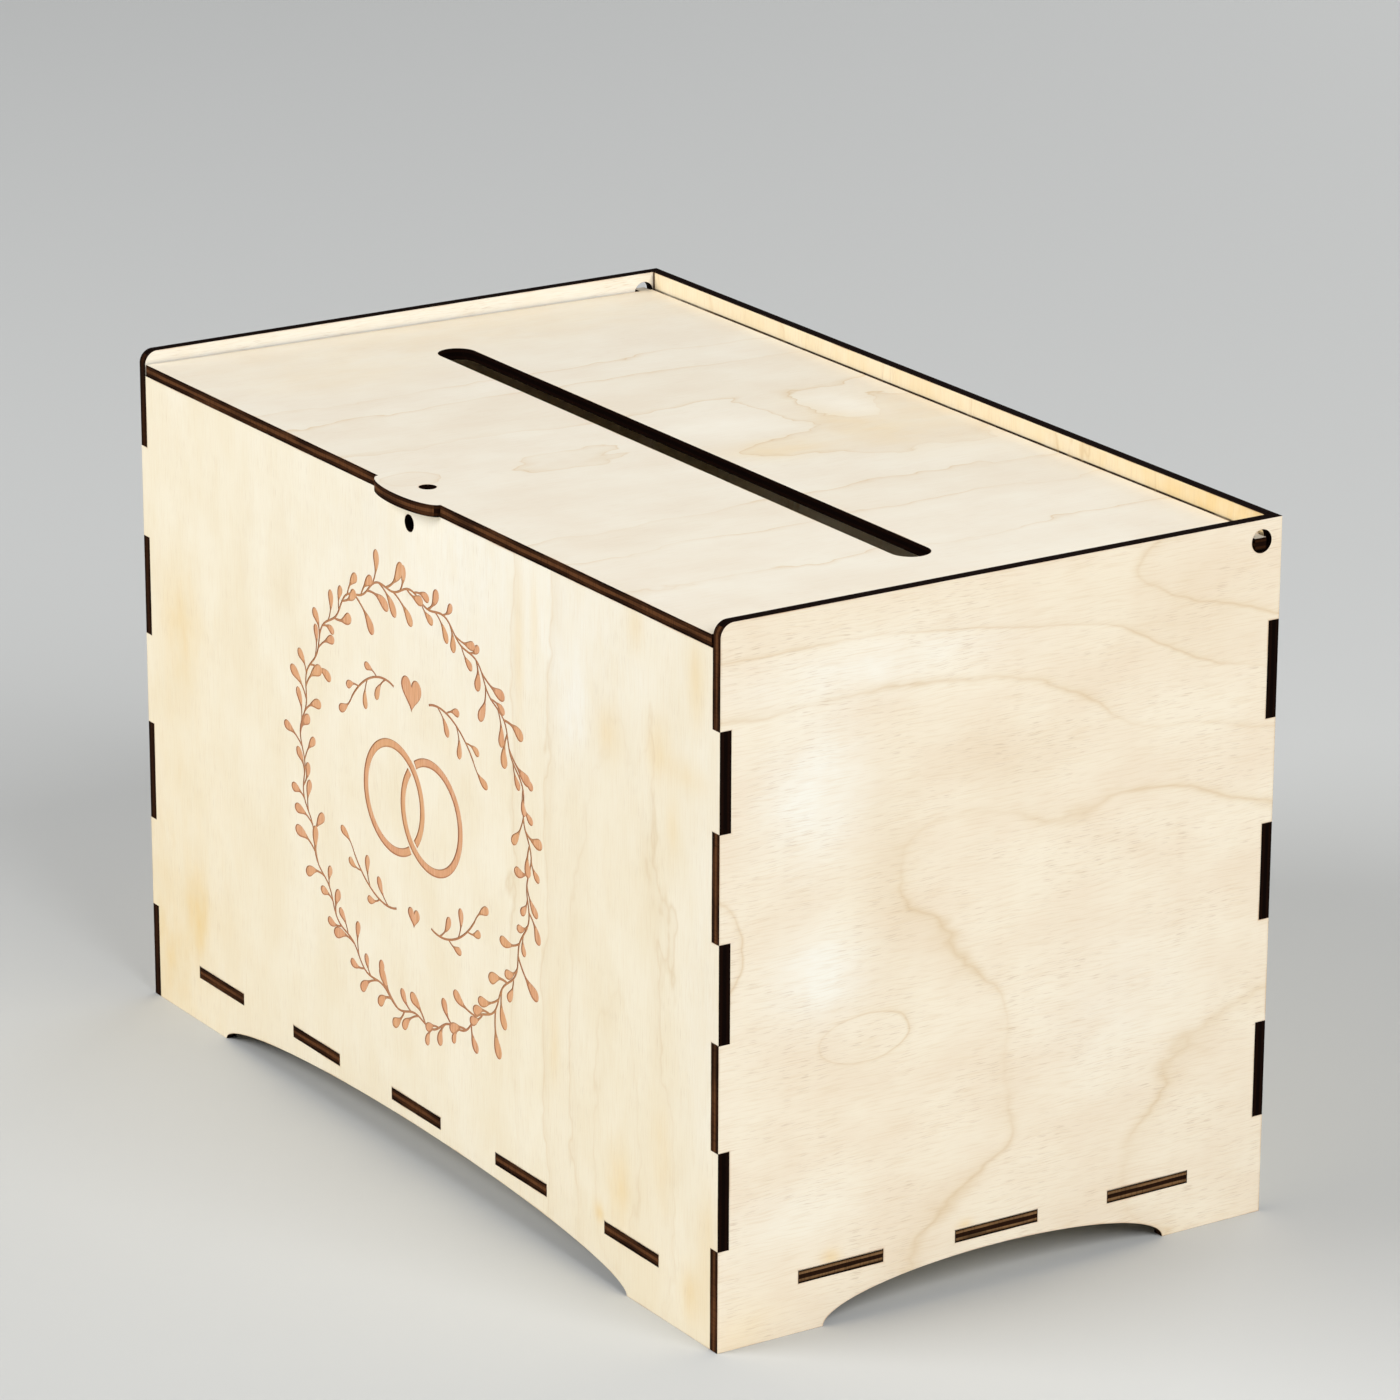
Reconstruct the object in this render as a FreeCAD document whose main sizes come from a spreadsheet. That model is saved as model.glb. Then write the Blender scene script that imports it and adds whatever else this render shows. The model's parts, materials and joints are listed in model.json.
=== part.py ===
"""Wedding card box, laser-cut from one sheet of birch plywood.

Four finger-jointed walls stand on arched feet. The base's tabs sit in slots of the walls. The lid lies on the
front panel and swings up on two ears that turn in round holes of the side panels.

Millimetres. +X runs right along the front, +Y to the back and +Z up. The origin is at the middle of the
footprint, tongue included, on the surface that the box stands on.
"""
import FreeCAD, Part
import os
import Sketcher

doc = FreeCAD.newDocument("card_box")

# Driving dimensions: name, value and what it is.
SIZES = [
    ("box_width", 310.0, "outside, left to right"),
    ("box_depth", 178.0, "outside, front face to rear face"),
    ("side_height", 200.0, "side and back panels, floor to top edge"),
    ("ply", 3.4, "thickness of the plywood sheet"),
    ("joint_gap", 0.05, "kerf gap on each side of a finger joint"),
    ("finger_count", 3, "fingers at each end of the front and back panels"),
    ("finger_ease", 1.25, "how much shorter a finger is than an even division"),
    ("corner_radius", 4.0, "rounded top front corner of a side panel"),
    ("base_height", 14.2, "underside of the base above the floor"),
    ("tab_length", 27.0, "slot for one tab of the base"),
    ("tab_gap", 0.15, "gap all round a tab in its slot"),
    ("front_tab_count", 5, "tabs along the front and along the back"),
    ("front_tab_margin", 28.5, "side face to the first front slot"),
    ("side_tab_count", 3, "tabs along each side"),
    ("side_tab_margin", 25.3, "front face to the first side slot"),
    ("front_foot", 44.3, "foot left beside the front or back arch"),
    ("side_foot", 33.3, "foot left beside a side arch"),
    ("arch_rise", 10.75, "height of the arches"),
    ("ear_width", 3.75, "front-to-back width of a lid ear"),
    ("ear_inset", 0.4, "ear's end inside the side panel's outer face"),
    ("hinge_rise", 0.9, "hinge axis above the lid's middle plane"),
    ("hinge_gap", 0.05, "running gap from an ear's corners to its hole"),
    ("hinge_land", 0.05, "hinge hole's edge in front of the back panel"),
    ("hinge_roof", 2.75, "wood between a hinge hole and the top edge"),
    ("lid_lean", 0.5, "degrees that the closed lid falls to the back"),
    ("lid_seat_gap", 0.03, "lid's underside above the front panel"),
    ("lid_end_gap", 0.7, "lid's end to the side panel's inner face"),
    ("lid_back_gap", 0.8, "lid's rear edge to the back panel"),
    ("card_slot_margin", 28.9, "lid's end to the end of the card slot"),
    ("card_slot_width", 11.5, "front-to-back width of the card slot"),
    ("tongue_width", 33.4, "rounded tongue at the middle of the lid"),
    ("tongue_reach", 5.0, "tongue's overhang in front of the front face"),
    ("tie_radius", 2.45, "tie holes in the tongue and the front panel"),
    ("lid_tie_setback", 5.9, "lid's tie hole behind the front face"),
    ("front_tie_drop", 5.9, "front's tie hole below the front panel's top"),
]

# Two points nearer than this are the same point.
TOUCHING = 1e-6

dims = doc.addObject("Spreadsheet::Sheet", "dims")
for row, (alias, value, meaning) in enumerate(SIZES, start=1):
    dims.set(f"A{row}", meaning)
    dims.set(f"B{row}", str(value))
    dims.setAlias(f"B{row}", alias)
doc.recompute()

# Places worked out from the driving dimensions, as expressions.
FRONT_FACE = "(-(dims.box_depth - dims.tongue_reach) / 2)"
REAR_FACE = "((dims.box_depth + dims.tongue_reach) / 2)"
BOX_MIDDLE = "(dims.tongue_reach / 2)"
INNER_WIDTH = "(dims.box_width - 2 * dims.ply)"
INNER_DEPTH = "(dims.box_depth - 2 * dims.ply)"
FINGER_STEP = "((dims.side_height + dims.finger_ease) / (2 * dims.finger_count + 1))"
FINGER_LENGTH = f"({FINGER_STEP} - dims.finger_ease)"
FINGER_REACH = f"(2 * {FINGER_STEP} * (dims.finger_count - 1))"
SLOT_HEIGHT = "(dims.ply + 2 * dims.tab_gap)"
SLOT_BOTTOM = "(dims.base_height - dims.tab_gap)"
FRONT_SLOTS_REACH = "(dims.box_width - 2 * dims.front_tab_margin - dims.tab_length)"
SIDE_SLOTS_REACH = "(dims.box_depth - 2 * dims.side_tab_margin - dims.tab_length)"
EAR_DROP = "(dims.ply / 2 + dims.hinge_rise)"
HINGE_RADIUS = f"(sqrt({EAR_DROP}^2 + (dims.ear_width / 2)^2) + dims.hinge_gap)"
HINGE_SETBACK = f"(dims.ply + dims.hinge_land + {HINGE_RADIUS})"
HINGE_HEIGHT = f"(dims.side_height - dims.hinge_roof - {HINGE_RADIUS})"
LID_FRONT = f"(dims.box_depth - {HINGE_SETBACK})"
LID_REAR = f"(dims.hinge_land + {HINGE_RADIUS} - dims.lid_back_gap)"
LID_WIDTH = f"({INNER_WIDTH} - 2 * dims.lid_end_gap)"
SEAT_TO_HINGE = f"({LID_FRONT} - dims.ply)"
SEAT_DROP = f"(({EAR_DROP} - {SEAT_TO_HINGE} * sin(dims.lid_lean)) / cos(dims.lid_lean))"
FRONT_HEIGHT = f"({HINGE_HEIGHT} - {SEAT_DROP} - dims.lid_seat_gap)"


def new_body(label):
    """Start one piece of the box."""
    body = doc.addObject("PartDesign::Body", label)
    body.Label = label
    return body


def new_sketch(body, plane, name):
    """Attach an empty sketch to one of the body's own origin planes."""
    sketch = body.newObject("Sketcher::SketchObject", name)
    support = next(item for item in body.Origin.OriginFeatures if item.Role == plane)
    sketch.AttachmentSupport = [(support, "")]
    sketch.MapMode = "FlatFace"
    return sketch


def now(*expressions):
    """Work out expressions with the sheet's present values."""
    return [float(dims.evalExpression(expression)) for expression in expressions]


def bind(sketch, kind, refs, expression):
    """Add a sketch dimension and tie it to an expression."""
    index = sketch.addConstraint(Sketcher.Constraint(kind, *refs, *now(expression)))
    sketch.setExpression(f"Constraints[{index}]", expression)


def pin_point(sketch, curve, point, across, up):
    """Hold one point of a sketch curve at a place measured from the sketch's origin."""
    bind(sketch, "DistanceX", (-1, 1, curve, point), across)
    bind(sketch, "DistanceY", (-1, 1, curve, point), up)


def draw_rectangle(sketch, left, right, bottom, top):
    """Draw a rectangle whose four sides lie at the given expressions."""
    x0, x1, y0, y1 = now(left, right, bottom, top)
    corners = [(x0, y0), (x1, y0), (x1, y1), (x0, y1)]
    points = [FreeCAD.Vector(x, y, 0) for x, y in corners]
    lines = [sketch.addGeometry(Part.LineSegment(points[i], points[(i + 1) % 4])) for i in range(4)]
    for i, line in enumerate(lines):
        sketch.addConstraint(Sketcher.Constraint("Coincident", line, 2, lines[(i + 1) % 4], 1))
        sketch.addConstraint(Sketcher.Constraint("Vertical" if i % 2 else "Horizontal", line))
    pin_point(sketch, lines[0], 1, left, bottom)
    pin_point(sketch, lines[2], 1, right, top)


def draw_circle(sketch, across, up, radius):
    """Draw a circle from its centre and radius."""
    x, y, size = now(across, up, radius)
    circle = sketch.addGeometry(Part.Circle(FreeCAD.Vector(x, y, 0), FreeCAD.Vector(0, 0, 1), size))
    pin_point(sketch, circle, 3, across, up)
    bind(sketch, "Radius", (circle,), radius)


def draw_ellipse(sketch, across, up, half_span, rise):
    """Draw a level ellipse, half of which is an arch over the floor line or the lid's tongue."""
    middle, level, wide, high = now(across, up, half_span, rise)
    centre = FreeCAD.Vector(middle, level, 0)
    end = FreeCAD.Vector(middle + wide, level, 0)
    crown = FreeCAD.Vector(middle, level + high, 0)
    ellipse = sketch.addGeometry(Part.Ellipse(end, crown, centre))
    sketch.exposeInternalGeometry(ellipse)
    major_axis, minor_axis = ellipse + 1, ellipse + 2
    pin_point(sketch, ellipse, 3, across, up)
    sketch.addConstraint(Sketcher.Constraint("Horizontal", major_axis))
    bind(sketch, "Distance", (major_axis,), f"2 * {half_span}")
    bind(sketch, "Distance", (minor_axis,), f"2 * {rise}")


def pad(body, sketch, name, length, start="0"):
    """Raise a sketch along its normal, from a start height."""
    feature = body.newObject("PartDesign::Pad", name)
    feature.Profile = sketch
    feature.setExpression("Length", length)
    sketch.setExpression("AttachmentOffset.Base.z", start)
    doc.recompute()
    return feature


def cut_through(body, sketch, name):
    """Cut a sketch right through the sheet."""
    before = body.Shape.Volume
    feature = body.newObject("PartDesign::Pocket", name)
    feature.Profile = sketch
    feature.Type = "ThroughAll"
    feature.Midplane = True
    doc.recompute()
    if not body.Shape.Volume < before:
        raise RuntimeError(f"{body.Label}: {name} cut nothing")
    return feature


def repeat(body, feature, sketch, axis, name, reach, count):
    """Repeat a feature along its sketch's horizontal (H_Axis) or vertical (V_Axis) direction."""
    pattern = body.newObject("PartDesign::LinearPattern", name)
    pattern.Originals = [feature]
    pattern.Direction = (sketch, [axis])
    pattern.setExpression("Length", reach)
    pattern.setExpression("Occurrences", count)
    body.Tip = pattern
    doc.recompute()
    return pattern


def place(body, across="0", back="0", up="0"):
    """Put a finished piece in the box."""
    for axis, expression in zip("xyz", (across, back, up)):
        body.setExpression(f"Placement.Base.{axis}", expression)
    doc.recompute()


def cross_wall(label, height, rear_face):
    """Front or back panel: a sheet between the sides, with fingers, tab slots and an arch."""
    body = new_body(label)
    half_inside = f"({INNER_WIDTH} / 2 - dims.joint_gap)"
    half_outside = "(dims.box_width / 2)"

    outline = new_sketch(body, "XZ_Plane", f"{label}_outline")
    draw_rectangle(outline, f"-{half_inside}", half_inside, "0", height)
    pad(body, outline, f"{label}_sheet", "dims.ply")

    fingers = new_sketch(body, "XZ_Plane", f"{label}_fingers")
    finger_top = f"({FINGER_STEP} + {FINGER_LENGTH})"
    draw_rectangle(fingers, f"-{half_outside}", f"-{half_inside}", FINGER_STEP, finger_top)
    draw_rectangle(fingers, half_inside, half_outside, FINGER_STEP, finger_top)
    finger_pair = pad(body, fingers, f"{label}_finger_pair", "dims.ply")
    repeat(body, finger_pair, fingers, "V_Axis", f"{label}_finger_rows", FINGER_REACH, "dims.finger_count")

    slot = new_sketch(body, "XZ_Plane", f"{label}_tab_slot")
    slot_left = "(dims.front_tab_margin - dims.box_width / 2)"
    slot_top = f"({SLOT_BOTTOM} + {SLOT_HEIGHT})"
    draw_rectangle(slot, slot_left, f"({slot_left} + dims.tab_length)", SLOT_BOTTOM, slot_top)
    first_slot = cut_through(body, slot, f"{label}_first_slot")
    repeat(body, first_slot, slot, "H_Axis", f"{label}_slot_row", FRONT_SLOTS_REACH, "dims.front_tab_count")

    arch = new_sketch(body, "XZ_Plane", f"{label}_arch")
    draw_ellipse(arch, "0", "0", "(dims.box_width / 2 - dims.front_foot)", "dims.arch_rise")
    cut_through(body, arch, f"{label}_arch_cut")
    place(body, back=rear_face)
    return body


def front_panel():
    """The engraved front, with its tie hole under the lid's tongue."""
    body = cross_wall("front_panel", FRONT_HEIGHT, f"{FRONT_FACE} + dims.ply")
    tie = new_sketch(body, "XZ_Plane", "front_panel_tie")
    draw_circle(tie, "0", f"({FRONT_HEIGHT} - dims.front_tie_drop)", "dims.tie_radius")
    cut_through(body, tie, "front_panel_tie_hole")
    return body


def back_panel():
    """The back, as tall as the sides."""
    return cross_wall("back_panel", "dims.side_height", REAR_FACE)


def side_wall(label, left_face):
    """Left or right panel: notched for the fingers, slotted, arched, and bored for a lid ear."""
    body = new_body(label)
    outline = new_sketch(body, "YZ_Plane", f"{label}_outline")
    draw_rectangle(outline, FRONT_FACE, REAR_FACE, "0", "dims.side_height")
    pad(body, outline, f"{label}_sheet", "dims.ply")

    notches = new_sketch(body, "YZ_Plane", f"{label}_notches")
    notch_depth = "(dims.ply + dims.joint_gap)"
    notch_bottom = f"({FINGER_STEP} - dims.joint_gap)"
    notch_top = f"({FINGER_STEP} + {FINGER_LENGTH} + dims.joint_gap)"
    draw_rectangle(notches, FRONT_FACE, f"({FRONT_FACE} + {notch_depth})", notch_bottom, notch_top)
    draw_rectangle(notches, f"({REAR_FACE} - {notch_depth})", REAR_FACE, notch_bottom, notch_top)
    notch_pair = cut_through(body, notches, f"{label}_notch_pair")
    repeat(body, notch_pair, notches, "V_Axis", f"{label}_notch_rows", FINGER_REACH, "dims.finger_count")

    slot = new_sketch(body, "YZ_Plane", f"{label}_tab_slot")
    slot_front = f"({FRONT_FACE} + dims.side_tab_margin)"
    slot_top = f"({SLOT_BOTTOM} + {SLOT_HEIGHT})"
    draw_rectangle(slot, slot_front, f"({slot_front} + dims.tab_length)", SLOT_BOTTOM, slot_top)
    first_slot = cut_through(body, slot, f"{label}_first_slot")
    repeat(body, first_slot, slot, "H_Axis", f"{label}_slot_row", SIDE_SLOTS_REACH, "dims.side_tab_count")

    arch = new_sketch(body, "YZ_Plane", f"{label}_arch")
    draw_ellipse(arch, BOX_MIDDLE, "0", "(dims.box_depth / 2 - dims.side_foot)", "dims.arch_rise")
    cut_through(body, arch, f"{label}_arch_cut")

    hinge = new_sketch(body, "YZ_Plane", f"{label}_hinge")
    draw_circle(hinge, f"({REAR_FACE} - {HINGE_SETBACK})", HINGE_HEIGHT, HINGE_RADIUS)
    bored = cut_through(body, hinge, f"{label}_hinge_hole")
    round_front_corner(body, bored, label)
    place(body, across=left_face)
    return body


def round_front_corner(body, base, label):
    """Round the corner where the top edge meets the front edge."""
    front, top = now(FRONT_FACE, "dims.side_height")
    edges = enumerate(base.Shape.Edges, start=1)
    corner = [n for n, edge in edges if all(
        abs(vertex.Y - front) < TOUCHING and abs(vertex.Z - top) < TOUCHING for vertex in edge.Vertexes)]
    fillet = body.newObject("PartDesign::Fillet", f"{label}_round_corner")
    fillet.Base = (base, [f"Edge{n}" for n in corner])
    fillet.setExpression("Radius", "dims.corner_radius")
    doc.recompute()


def base_panel():
    """The floor of the box, with a row of tabs on each of its four sides."""
    body = new_body("base_panel")
    half_width = f"({INNER_WIDTH} / 2 - dims.joint_gap)"
    half_depth = f"({INNER_DEPTH} / 2 - dims.joint_gap)"
    outline = new_sketch(body, "XY_Plane", "base_panel_outline")
    draw_rectangle(outline, f"-{half_width}", half_width, f"-{half_depth}", half_depth)
    pad(body, outline, "base_panel_sheet", "dims.ply")

    tab_left = "(dims.front_tab_margin - dims.box_width / 2 + dims.tab_gap)"
    tab_right = "(dims.front_tab_margin - dims.box_width / 2 + dims.tab_length - dims.tab_gap)"
    long_tabs = new_sketch(body, "XY_Plane", "base_panel_long_tabs")
    draw_rectangle(long_tabs, tab_left, tab_right, "-dims.box_depth / 2", f"-{half_depth}")
    draw_rectangle(long_tabs, tab_left, tab_right, half_depth, "dims.box_depth / 2")
    long_pair = pad(body, long_tabs, "base_panel_long_pair", "dims.ply")
    repeat(body, long_pair, long_tabs, "H_Axis", "base_panel_long_rows",
           FRONT_SLOTS_REACH, "dims.front_tab_count")

    tab_front = "(dims.side_tab_margin - dims.box_depth / 2 + dims.tab_gap)"
    tab_rear = "(dims.side_tab_margin - dims.box_depth / 2 + dims.tab_length - dims.tab_gap)"
    end_tabs = new_sketch(body, "XY_Plane", "base_panel_end_tabs")
    draw_rectangle(end_tabs, "-dims.box_width / 2", f"-{half_width}", tab_front, tab_rear)
    draw_rectangle(end_tabs, half_width, "dims.box_width / 2", tab_front, tab_rear)
    end_pair = pad(body, end_tabs, "base_panel_end_pair", "dims.ply")
    repeat(body, end_pair, end_tabs, "V_Axis", "base_panel_end_rows",
           SIDE_SLOTS_REACH, "dims.side_tab_count")
    place(body, back=BOX_MIDDLE, up="dims.base_height")
    return body


def lid():
    """The flap, drawn about its hinge axis and laid down until it meets the front panel."""
    body = new_body("lid")
    underside = f"-{EAR_DROP}"
    outline = new_sketch(body, "XY_Plane", "lid_outline")
    draw_rectangle(outline, f"-{LID_WIDTH} / 2", f"{LID_WIDTH} / 2", f"-{LID_FRONT}", LID_REAR)
    pad(body, outline, "lid_sheet", "dims.ply", underside)

    tongue = new_sketch(body, "XY_Plane", "lid_tongue")
    draw_ellipse(tongue, "0", f"-{LID_FRONT}", "(dims.tongue_width / 2)", "dims.tongue_reach")
    pad(body, tongue, "lid_tongue_pad", "dims.ply", underside)

    ears = new_sketch(body, "XY_Plane", "lid_ears")
    ear_end = "(dims.box_width / 2 - dims.ear_inset)"
    half_ear = "(dims.ear_width / 2)"
    draw_rectangle(ears, f"-{ear_end}", ear_end, f"-{half_ear}", half_ear)
    pad(body, ears, "lid_ear_pad", "dims.ply", underside)

    slot = new_sketch(body, "XY_Plane", "lid_card_slot")
    draw_card_slot(slot)
    cut_through(body, slot, "lid_card_slot_cut")

    tie = new_sketch(body, "XY_Plane", "lid_tie")
    draw_circle(tie, "0", f"(dims.lid_tie_setback - {LID_FRONT})", "dims.tie_radius")
    cut_through(body, tie, "lid_tie_hole")

    body.Placement = FreeCAD.Placement(FreeCAD.Vector(), FreeCAD.Rotation(FreeCAD.Vector(-1, 0, 0), 1))
    body.setExpression("Placement.Rotation.Angle", "dims.lid_lean")
    place(body, back=f"{REAR_FACE} - {HINGE_SETBACK}", up=HINGE_HEIGHT)
    return body


def draw_card_slot(sketch):
    """Draw the long slot with two round ends, midway between the tongue's tip and the rear edge."""
    middle = f"(({LID_REAR} - {LID_FRONT} - dims.tongue_reach) / 2)"
    radius = "(dims.card_slot_width / 2)"
    straight = f"({LID_WIDTH} / 2 - dims.card_slot_margin - {radius})"
    y, r, half = now(middle, radius, straight)
    lines = []
    for side in (-1, 1):
        ends = [FreeCAD.Vector(side * x, y + side * r, 0) for x in (half, -half)]
        lines.append(sketch.addGeometry(Part.LineSegment(*ends)))
    for line, end in ((0, 1), (1, -1)):
        start = FreeCAD.Vector(end * half, y - end * r, 0)
        outermost = FreeCAD.Vector(end * (half + r), y, 0)
        finish = FreeCAD.Vector(end * half, y + end * r, 0)
        arc = sketch.addGeometry(Part.Arc(start, outermost, finish))
        sketch.addConstraint(Sketcher.Constraint("Tangent", lines[line], 2, arc, 1))
        sketch.addConstraint(Sketcher.Constraint("Tangent", arc, 2, lines[1 - line], 1))
        pin_point(sketch, arc, 3, f"{end} * {straight}", middle)
    sketch.addConstraint(Sketcher.Constraint("Horizontal", lines[0]))
    bind(sketch, "Radius", (arc,), radius)


pieces = [
    front_panel(),
    back_panel(),
    side_wall("left_panel", "-dims.box_width / 2"),
    side_wall("right_panel", "dims.box_width / 2 - dims.ply"),
    base_panel(),
    lid(),
]
doc.recompute()

for item in doc.Objects:
    if "Invalid" in item.State or "Error" in item.State:
        raise RuntimeError(f"{item.Name} failed: {item.State}")
for piece in pieces:
    if piece.Shape.isNull() or not piece.Shape.isValid() or len(piece.Shape.Solids) != 1:
        raise RuntimeError(f"{piece.Label} is not one valid solid")

os.makedirs("parts", exist_ok=True)
for piece in pieces:
    piece.Shape.exportStep(f"parts/{piece.Label}.step")
    box = piece.Shape.BoundBox
    print(f"{piece.Label}: {box.XLength:.2f} x {box.YLength:.2f} x {box.ZLength:.2f} mm, "
          f"{piece.Shape.Volume / 1000:.1f} cm3")
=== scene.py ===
# %% [markdown]
# # A laser-cut wedding card box
# The box is six flat sheets of thin birch plywood. Four walls are joined by fingers, the base sits in them by
# its tabs, and the lid swings on its own two ears. The CAD model gives the size and the place of each sheet.
# A flat solid with one colour looks like cardboard, though. What makes it plywood is what the laser and the
# tree left on it: holes that stay round up close, a thin charred bevel along every cut, the stripes of the
# plies, the figure of the veneer and a shallow engraving. So each sheet is made again here, in the place of
# its solid.

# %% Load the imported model
import json
import math

import bmesh
import bpy
from mathutils import Matrix, Vector
from mathutils.geometry import delaunay_2d_cdt


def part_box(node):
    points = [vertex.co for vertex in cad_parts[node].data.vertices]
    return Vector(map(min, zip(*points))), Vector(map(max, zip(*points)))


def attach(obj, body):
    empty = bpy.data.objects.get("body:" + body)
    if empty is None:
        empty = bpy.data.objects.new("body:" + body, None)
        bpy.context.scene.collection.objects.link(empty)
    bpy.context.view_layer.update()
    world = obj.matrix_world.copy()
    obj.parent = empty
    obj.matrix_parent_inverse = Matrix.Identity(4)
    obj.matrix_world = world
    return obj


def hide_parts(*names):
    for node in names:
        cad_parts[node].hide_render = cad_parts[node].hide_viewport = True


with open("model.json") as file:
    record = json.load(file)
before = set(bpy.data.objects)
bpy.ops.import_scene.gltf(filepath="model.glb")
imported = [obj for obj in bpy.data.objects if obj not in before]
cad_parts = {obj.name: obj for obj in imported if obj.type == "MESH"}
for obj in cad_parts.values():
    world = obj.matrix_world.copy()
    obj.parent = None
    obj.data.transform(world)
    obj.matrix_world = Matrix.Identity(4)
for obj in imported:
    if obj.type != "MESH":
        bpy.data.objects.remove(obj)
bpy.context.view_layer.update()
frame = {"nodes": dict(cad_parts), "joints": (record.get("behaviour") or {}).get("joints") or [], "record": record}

print("CAD nodes:", ", ".join(sorted(frame["nodes"])))

# %% [markdown]
# ## Sizes
# Whatever the frame can tell is read from it: the boxes of the sheets, the hinge axis and the two tie holes.
# The cuts inside a sheet can't be read from a box, so their driving dimensions are repeated here, in
# millimetres, which is how such a box is drawn for the laser.

# %% Measure the CAD sheets
MM = 0.001


def corners_mm(node):
    """Lowest and highest corner of a CAD node in millimetres."""
    low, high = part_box(node)
    return low / MM, high / MM


FRONT_LOW, FRONT_HIGH = corners_mm("front_panel")
BACK_LOW, BACK_HIGH = corners_mm("back_panel")
BASE_LOW, BASE_HIGH = corners_mm("base_panel")
LID_HIGH = corners_mm("lid")[1]
PLY = FRONT_HIGH.y - FRONT_LOW.y
WIDTH = FRONT_HIGH.x - FRONT_LOW.x
FRONT_FACE = FRONT_LOW.y
REAR_FACE = BACK_HIGH.y
DEPTH = REAR_FACE - FRONT_FACE
MIDDLE = (FRONT_FACE + REAR_FACE) / 2
HEIGHT = BACK_HIGH.z
HINGE = Vector(frame["joints"][0]["pos_m"]) / MM
MOUNTS = {mount["name"]: mount for mount in frame["record"]["mounts"]}
print(f"box {WIDTH:.1f} x {DEPTH:.1f} x {HEIGHT:.1f} mm, ply {PLY:.2f} mm")

# %% Cuts inside the sheets, in millimetres
JOINT_GAP = 0.05
FINGER_COUNT = 3
FINGER_EASE = 1.25
CORNER_RADIUS = 4.0
TAB_LENGTH = 27.0
TAB_GAP = 0.15
FRONT_TAB_COUNT = 5
FRONT_TAB_MARGIN = 28.5
SIDE_TAB_COUNT = 3
SIDE_TAB_MARGIN = 25.3
FRONT_FOOT = 44.3
SIDE_FOOT = 33.3
ARCH_RISE = 10.75
EAR_WIDTH = 3.75
HINGE_RISE = 0.9
HINGE_GAP = 0.05
LID_END_GAP = 0.7
LID_BACK_GAP = 0.8
CARD_SLOT_MARGIN = 28.9
CARD_SLOT_WIDTH = 11.5
TONGUE_WIDTH = 33.4
TONGUE_REACH = 5.0
FINGER_STEP = (HEIGHT + FINGER_EASE) / (2 * FINGER_COUNT + 1)
FINGERS = [(FINGER_STEP * k, FINGER_STEP * (k + 1) - FINGER_EASE) for k in range(1, 2 * FINGER_COUNT, 2)]
INSIDE = WIDTH / 2 - PLY
EAR_DROP = PLY / 2 + HINGE_RISE
HINGE_RADIUS = math.hypot(EAR_DROP, EAR_WIDTH / 2) + HINGE_GAP
print(f"fingers at {', '.join(f'{low:.1f}-{high:.1f}' for low, high in FINGERS)} mm, "
      f"hinge holes {2 * HINGE_RADIUS:.2f} mm")

# %% [markdown]
# ## Drawing the cuts
# A laser follows flat outlines, so each sheet starts as one outer loop and some holes, drawn
# counter-clockwise and seen from the side that shows. Curves get enough steps to look round in a close view:
# the CAD mesh has about fifteen steps on a hinge hole, which is fine for collision but shows corners in a
# picture.

# %% Loops that the outlines are made of
CIRCLE_STEPS = 64
ARCH_STEPS = 72
CORNER_STEPS = 14
TONGUE_STEPS = 40


def arc(centre, radii, start, end, steps):
    """Points along an ellipse between two angles in degrees."""
    turns = [math.radians(start + (end - start) * k / steps) for k in range(steps + 1)]
    return [(centre[0] + radii[0] * math.cos(t), centre[1] + radii[1] * math.sin(t)) for t in turns]


def circle(centre, radius):
    """A whole circle."""
    return arc(centre, (radius, radius), 0, 360, CIRCLE_STEPS)[:-1]


def rectangle(left, right, bottom, top):
    """A rectangle by its sides."""
    return [(left, bottom), (right, bottom), (right, top), (left, top)]


def mirrored(loop):
    """The same loop seen from the other side."""
    return [(-x, y) for x, y in reversed(loop)]


def half_turn(loop):
    """The same loop turned by half a turn about the middle of the box."""
    return [(-x, 2 * MIDDLE - y) for x, y in loop]


def row_of_tabs(start, end, count):
    """Where each tab of an even row begins."""
    step = (end - start - TAB_LENGTH) / (count - 1)
    return [start + step * k for k in range(count)]


FRONT_TABS = row_of_tabs(FRONT_TAB_MARGIN - WIDTH / 2, WIDTH / 2 - FRONT_TAB_MARGIN, FRONT_TAB_COUNT)
SIDE_TABS = row_of_tabs(FRONT_FACE + SIDE_TAB_MARGIN, REAR_FACE - SIDE_TAB_MARGIN, SIDE_TAB_COUNT)
print(f"{len(FRONT_TABS)} tabs along the front, {len(SIDE_TABS)} along a side")

# %% [markdown]
# ### The walls
# The front and the back carry the fingers and the sides carry the notches for them. All four stand on feet
# that an elliptical arch leaves over, and have a row of slots in which the ends of the base's tabs can be
# seen.

# %% Outlines of the walls
def cross_wall(height):
    """Front or back: fingers at both ends, an arch below."""
    inside = INSIDE - JOINT_GAP
    right_edge = []
    for low, high in FINGERS:
        right_edge += [(inside, low), (WIDTH / 2, low), (WIDTH / 2, high), (inside, high)]
    half_arch = WIDTH / 2 - FRONT_FOOT
    floor_line = [(-inside, 0)] + arc((0, 0), (half_arch, ARCH_RISE), 180, 0, ARCH_STEPS) + [(inside, 0)]
    return floor_line + right_edge + [(inside, height), (-inside, height)] + mirrored(right_edge)


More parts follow.
